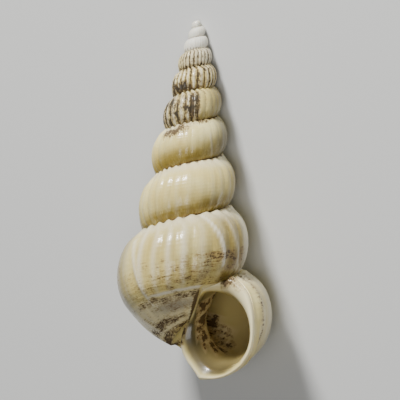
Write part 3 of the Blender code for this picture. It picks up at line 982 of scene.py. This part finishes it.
# %% [markdown]
# ## Bore and shade
# Past the ring the lining turns taupe, and the tint starts nearer the lip on some sides. The taupe is
# partly the stained inside of the tube and partly painted shade deep in the mouth. The outer edges of some
# turns, the hollow by an old lip and the funnel at the front get painted shade: a dark olive tint, as they
# would lie deeper in shadow without the light of a pale floor. A few faint patches of the same olive darken
# turns 3 and 5 and an amber patch on the last turn. A darker room would dim the whole shell, and painted
# shade on the growth map keeps to its place.

# %% Bore mask
# Parts of the way around, with how deep the tint starts there and how long it takes to come in
BORE_EDGE = (
    (0, 0.2, 0.27, 0.33, 0.4, 0.45, 0.5, 0.58, 0.66, 0.7, 0.8, 1),
    (1.0, 0.98, 0.62, 0.45, 0.4, 0.36, 0.42, 0.45, 0.5, 0.85, 1.0, 1.0),
)
BORE_FADE = ((0, 0.2, 0.27, 0.33, 0.45, 0.5, 0.6, 1), (0.12, 0.14, 0.4, 0.5, 0.45, 0.2, 0.12, 0.12))
BORE_LEAST_DEPTH = 0.3

into_bore = (deep - np.interp(around, *BORE_EDGE)) / np.interp(around, *BORE_FADE)
# Taupe deeper in the bore: partly the stained inside, partly painted shade deep in the mouth
keep("bore", ramp(into_bore) * (deep > BORE_LEAST_DEPTH))

# %% Shade mask
# Painted shade on the right edges of turns, by old lips, and a few faint darker patches
# Turn, across, half width, half height, strength
SHADE_PATCHES = (
    (3.3, 0.5, 0.5, 0.9, 0.14),
    (4.02, 0.5, 0.09, 0.9, 0.3),
    (5.04, 0.5, 0.1, 0.9, 0.55),
    (5.45, 0.5, 0.2, 0.9, 0.14),
    (6.04, 0.5, 0.085, 0.8, 0.8),
    (7.02, 0.5, 0.06, 0.8, 0.5),
    (7.52, 0.6, 0.05, 0.6, 0.3),
    (8.49, 0.5, 0.06, 0.7, 0.7),
    (9.02, 0.4, 0.05, 0.7, 0.32),
    (8.1, 0.85, 0.05, 0.2, 0.2),
)
# Painted shade in the funnel at the front: depths, then parts of the way around
FUNNEL_DEEP = (0.5, 0.72, 1.0, 1.2)
FUNNEL_AROUND = (0.25, 0.33, 0.65, 0.69)

funnel_shade = span(deep, *FUNNEL_DEEP) * span(around, *FUNNEL_AROUND)
keep("shade", np.maximum(patches(turn, across, SHADE_PATCHES) * outside, funnel_shade * inside))

# %% [markdown]
# ## Finish: glazed ivory
# One Principled shader gives the gloss. Its colour starts as ivory and takes the tints one after another,
# from the softest to the hardest. Several materials, each on its own faces, would give hard borders, so
# there is one, and short helpers keep its node tree readable.

# %% Node helpers
ivory = bpy.data.materials.new("glazed_ivory")
ivory.use_nodes = True
tree = ivory.node_tree
shader = tree.nodes["Principled BSDF"]
MIX_FACTOR, NUMBER_A, NUMBER_B, COLOUR_A, COLOUR_B, COLOUR_OUT = 0, 2, 3, 6, 7, 2


def add(kind, inputs=(), **settings):
    """New node with its settings, and its inputs as values or links."""
    made = tree.nodes.new(kind)
    for name, value in settings.items():
        setattr(made, name, value)
    for key, value in dict(inputs).items():
        if isinstance(value, bpy.types.NodeSocket):
            tree.links.new(value, made.inputs[key])
        else:
            made.inputs[key].default_value = value
    return made


def calc(operation, a, b=0.0):
    return add("ShaderNodeMath", {0: a, 1: b}, operation=operation).outputs[0]


def share(value, part):
    return calc("MULTIPLY", value, part)


def mixture(first, *others):
    """Sum of values, each given with its share."""
    total = share(*first)
    for other in others:
        total = calc("ADD", total, share(*other))
    return total


def fade(value, low, high):
    """0 at low and 1 at high."""
    inputs = {"Value": value, "From Min": low, "From Max": high}
    return add("ShaderNodeMapRange", inputs, interpolation_type="SMOOTHSTEP").outputs[0]


def swap(amount, first, second):
    """The first number where the amount is 0, and the second where it is 1."""
    return add("ShaderNodeMix", {MIX_FACTOR: amount, NUMBER_A: first, NUMBER_B: second}).outputs[0]


def tinted(colour, tint, amount):
    """Colour turned towards a tint by an amount."""
    inputs = {MIX_FACTOR: amount, COLOUR_A: colour, COLOUR_B: tint}
    return add("ShaderNodeMix", inputs, data_type="RGBA").outputs[COLOUR_OUT]


def mask(name):
    return add("ShaderNodeAttribute", attribute_name=name).outputs["Fac"]


print("material:", ivory.name)

# %% [markdown]
# ## Noises
# Nothing on a shell is one flat colour. Clouds, mottling and specks are noises in space, in three sizes.
# Growth lines run along the ribs, streaks are finer, and dashes run along the tube, so these three are
# read from the growth map and stretched there. An image texture would blur up close, and noise doesn't.

# %% Coordinates and noises
# Stretch of the pattern, detail, roughness
CLOUDS = ((160, 160, 160), 3.0, 0.55)
MOTTLING = ((900, 900, 900), 5.0, 0.65)
SPECKS = ((4200, 4200, 4200), 2.0, 0.6)
GROWTH_LINES = ((110, 2.5, 1), 3.0, 0.6)
STREAKS = ((240, 8, 1), 3.0, 0.6)
DASHES = ((30, 60, 1), 4.0, 0.6)


def noise(source, stretch, detail, roughness):
    stretched = add("ShaderNodeMapping", {"Vector": source, "Scale": stretch}).outputs[0]
    inputs = {"Vector": stretched, "Scale": 1.0, "Detail": detail, "Roughness": roughness}
    return add("ShaderNodeTexNoise", inputs).outputs["Fac"]


in_space = add("ShaderNodeTexCoord").outputs["Object"]
in_growth = add("ShaderNodeUVMap", uv_map="growth").outputs[0]
split = add("ShaderNodeSeparateXYZ", {0: in_growth})
turn_out, across_out = split.outputs[0], split.outputs[1]
cloudy, mottled, specks = (noise(in_space, *kind) for kind in (CLOUDS, MOTTLING, SPECKS))
growth_lines, streaks, dashes = (noise(in_growth, *kind) for kind in (GROWTH_LINES, STREAKS, DASHES))
print("nodes with the noises:", len(tree.nodes))

# %% [markdown]
# ## Ivory, amber and white
# The skin is ivory with paler clouds, the tip is chalky, and faint honey lines show how the lip grew. The
# amber is broken up by streaks, and white goes on last, because a crest is opaque. A colour ramp could
# hold these tones in one node, but then they couldn't be placed one by one.

# %% Skin
IVORY = (0.72, 0.58, 0.2, 1)
PALE = (0.88, 0.78, 0.38, 1)
CHALK = (0.80, 0.77, 0.65, 1)
HONEY = (0.42, 0.33, 0.14, 1)
PALE_CLOUDS = (0.35, 0.7)
CHALKY_TIP = (3.9, 2.6)
HONEY_LINES, HONEY_SHARE = (0.5, 0.75), 0.25
colour = tinted(IVORY, PALE, fade(cloudy, *PALE_CLOUDS))
colour = tinted(colour, CHALK, fade(turn_out, *CHALKY_TIP))
colour = tinted(colour, HONEY, share(fade(growth_lines, *HONEY_LINES), HONEY_SHARE))
print("nodes with the skin:", len(tree.nodes))

# %% Amber and white
AMBER = (0.18, 0.118, 0.006, 1)
WHITE = (0.88, 0.85, 0.74, 1)
AMBER_PATCHY = (0.05, 0.55)
patchy = mixture((mottled, 0.5), (streaks, 0.5))
colour = tinted(colour, AMBER, calc("MULTIPLY", mask("amber"), fade(patchy, *AMBER_PATCHY)))
colour = tinted(colour, WHITE, mask("white"))
print("nodes with amber and white:", len(tree.nodes))

# %% [markdown]
# ## Films, painted shade and crust
# Taupe in the bore, partly stain and partly painted shade, the dark olive of the painted shade and a pale
# crust on the stained floor of the mouth are even tints, so their masks need no noise. They could be mixed
# in last, but dirt lies on top of them, so they go on over the ivory tones and under the flecks.

# %% Taupe, painted shade and crust
# Taupe: partly the stained inside of the tube, partly painted shade
TAUPE, TAUPE_SHARE = (0.42, 0.32, 0.12, 1), 0.85
# Dark olive of the painted shade
SHADE_OLIVE, OLIVE_SHARE = (0.075, 0.06, 0.026, 1), 0.9
CRUST, CRUST_SHARE = (0.72, 0.58, 0.33, 1), 0.6
colour = tinted(colour, TAUPE, share(mask("bore"), TAUPE_SHARE))
colour = tinted(colour, SHADE_OLIVE, share(mask("shade"), OLIVE_SHARE))
colour = tinted(colour, CRUST, share(mask("stain"), CRUST_SHARE))
print("nodes with the films:", len(tree.nodes))

# %% [markdown]
# ## Flecks of dirt and painted shade
# Dried dirt ends in specks and streaks with a sharp edge and a soft ochre halo. Mixing a brown in by the
# mask alone would look like airbrush. So the mask lowers a limit, and a fleck shows where a grain of mixed
# noises is above that limit. The grain follows the ribs on the early turns, runs along the tube on the
# last one, and is blotchy in the mouth. The same flecks lay painted shade in the groove of the neck and
# between the deep folds.

# %% Grain and edges of the flecks
ALONG_TUBE = (6.0, 7.5)
FLECK_LIMIT, LIMIT_FALL = 0.67, 0.28
HARD_WIDTH = 0.03
HALO_BELOW, HALO_ABOVE, HALO_SHARE = 0.1, 0.01, 0.7
DIRT_PRESENT = (0.02, 0.2)
lined = swap(fade(turn_out, *ALONG_TUBE), streaks, dashes)
grain = mixture((specks, 0.2), (mottled, 0.4), (lined, 0.4))
blotches = mixture((mottled, 0.8), (specks, 0.2))
grain = swap(mask("stain"), grain, blotches)
# The dirt mask also carries painted shade in the neck groove and between the deep folds
dirt_and_shade = mask("dirt_and_shade")
limit = calc("SUBTRACT", FLECK_LIMIT, share(dirt_and_shade, LIMIT_FALL))
present = fade(dirt_and_shade, *DIRT_PRESENT)
fleck = calc("MULTIPLY", fade(grain, limit, calc("ADD", limit, HARD_WIDTH)), present)
halo = fade(grain, calc("SUBTRACT", limit, HALO_BELOW), calc("ADD", limit, HALO_ABOVE))
halo = share(calc("MULTIPLY", halo, present), HALO_SHARE)
print("nodes with the flecks:", len(tree.nodes))

# %% Colour of the flecks
OCHRE = (0.25, 0.155, 0.05, 1)
BROWN = (0.075, 0.042, 0.013, 1)
BLACK = (0.012, 0.008, 0.005, 1)
BLACK_TURNS = (5.6, 6.2)
DARK_MOTTLING = (0.4, 0.6)
FLECK_SHARE = 0.92
darkest = tinted(BLACK, BROWN, fade(turn_out, *BLACK_TURNS))
fleck_colour = tinted(BROWN, darkest, fade(mottled, *DARK_MOTTLING))
colour = tinted(colour, OCHRE, halo)
colour = tinted(colour, fleck_colour, share(fleck, FLECK_SHARE))
tree.links.new(colour, shader.inputs["Base Color"])
print("nodes with all the colours:", len(tree.nodes))

# %% [markdown]
# ## Gloss and fine relief
# The shell has a hard glaze over slightly clear lime, and dirt is dull on it. The glaze is the shader's
# coat, and some subsurface scattering gives the clearness. Growth lines, spiral threads and pits are only
# hundredths of a millimetre high, too fine for the mesh, so they are a bump.

# %% Gloss and relief
GLAZE = {
    "Subsurface Weight": 0.12,
    "Subsurface Radius": (1.0, 0.75, 0.4),
    "Subsurface Scale": 0.0008,
    "Specular IOR Level": 0.35,
    "Coat Weight": 0.25,
    "Coat Roughness": 0.08,
}
SMOOTHEST, DIRT_DULLER, MOTTLING_DULLER = 0.24, 0.4, 0.12
THREAD_PACE = 130
RELIEF_SHARES = {"growth lines": 0.7, "threads": 0.06, "mottling": 0.5, "flecks": -0.3}
RELIEF_STRENGTH, RELIEF_HEIGHT = 0.5, 0.00012

for socket, value in GLAZE.items():
    shader.inputs[socket].default_value = value
rough = calc("ADD", SMOOTHEST, share(fleck, DIRT_DULLER))
rough = calc("ADD", rough, share(mottled, MOTTLING_DULLER))
tree.links.new(rough, shader.inputs["Roughness"])
threads = calc("SINE", share(across_out, THREAD_PACE))
relief = mixture(*zip((growth_lines, threads, mottled, fleck), RELIEF_SHARES.values()))
inputs = {"Height": relief, "Strength": RELIEF_STRENGTH, "Distance": RELIEF_HEIGHT}
tree.links.new(add("ShaderNodeBump", inputs).outputs[0], shader.inputs["Normal"])
shell.data.materials.clear()
shell.data.materials.append(ivory)
print("nodes in all:", len(tree.nodes))

# %% [markdown]
# ## Floor
# The shell lies on plain pale paper. A curved backdrop would hide the horizon, but the camera looks down
# and never sees one, so a large plane does.

# %% Floor
FLOOR_SIZE = 2
PAPER = (0.62, 0.62, 0.60, 1)
PAPER_ROUGHNESS = 0.9

deselect()
bpy.ops.mesh.primitive_plane_add(size=FLOOR_SIZE, location=(0, 0, 0))
floor = bpy.context.object
floor.name = "floor"
paper = bpy.data.materials.new("pale_paper")
paper.use_nodes = True
paper.node_tree.nodes["Principled BSDF"].inputs["Base Color"].default_value = PAPER
paper.node_tree.nodes["Principled BSDF"].inputs["Roughness"].default_value = PAPER_ROUGHNESS
floor.data.materials.append(paper)
print("floor:", FLOOR_SIZE, "m wide")

# %% [markdown]
# ## Camera
# The camera looks down on the shell from the side of the mouth. It stands far off with a long lens, so
# that the spire keeps its proportions. It could track an empty, but a fixed matrix also holds the tilt of
# the picture.

# %% Camera
LOOK_AT = Vector((-1.11674, -0.53592, 4.25994)) * MILLIMETRE
TOWARD_CAMERA = Vector((0.58556, 0.12847, 0.80039))
PICTURE_UP = Vector((0.01882, 0.98494, -0.17186))
CAMERA_DISTANCE = 0.4167
LENS, SENSOR = 300, 36

camera_data = bpy.data.cameras.new("camera")
camera_data.lens = LENS
camera_data.sensor_width = SENSOR
camera = bpy.data.objects.new("camera", camera_data)
bpy.context.scene.collection.objects.link(camera)
picture_right = PICTURE_UP.cross(TOWARD_CAMERA)
turned = Matrix((picture_right, PICTURE_UP, TOWARD_CAMERA)).transposed().to_quaternion()
camera.matrix_world = Matrix.LocRotScale(LOOK_AT + TOWARD_CAMERA * CAMERA_DISTANCE, turned, None)
bpy.context.scene.camera = camera
print("camera:", [round(1000 * x) for x in camera.matrix_world.translation], "mm")

# %% [markdown]
# ## Lights
# One soft key light comes from above and a little to the left, and draws small highlights on the round
# turns. A weak one from the front opens the mouth. Both are area lights: a sun lamp would give sharp
# shadows in every groove. The room itself is a faint cool grey.

# %% Lights
# Name, direction as right, up and towards the camera, size in metres, power in watts
LIGHTS = (
    ("key", (-0.48, 0.85, 0.55), 0.1, 4.9),
    ("front", (-0.15, -0.2, 1.0), 0.2, 0.8),
)
LIGHT_DISTANCE = 0.5
ROOM_COLOUR = (0.9, 0.93, 1.0, 1)
ROOM_STRENGTH = 0.13

for name, (rightwards, upwards, nearer), size, power in LIGHTS:
    way_to_light = (picture_right * rightwards + PICTURE_UP * upwards + TOWARD_CAMERA * nearer).normalized()
    light_data = bpy.data.lights.new(name, "AREA")
    light_data.size = size
    light_data.energy = power
    light = bpy.data.objects.new(name, light_data)
    light.location = LOOK_AT + way_to_light * LIGHT_DISTANCE
    light.rotation_mode = "QUATERNION"
    light.rotation_quaternion = way_to_light.to_track_quat("Z", "Y")
    bpy.context.scene.collection.objects.link(light)

world = bpy.data.worlds.new("soft_room")
world.use_nodes = True
world.node_tree.nodes["Background"].inputs["Color"].default_value = ROOM_COLOUR
world.node_tree.nodes["Background"].inputs["Strength"].default_value = ROOM_STRENGTH
bpy.context.scene.world = world
print("lights:", [name for name, *_ in LIGHTS])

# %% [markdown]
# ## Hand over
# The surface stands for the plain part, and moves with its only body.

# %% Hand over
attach(shell, "root")
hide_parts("shell")
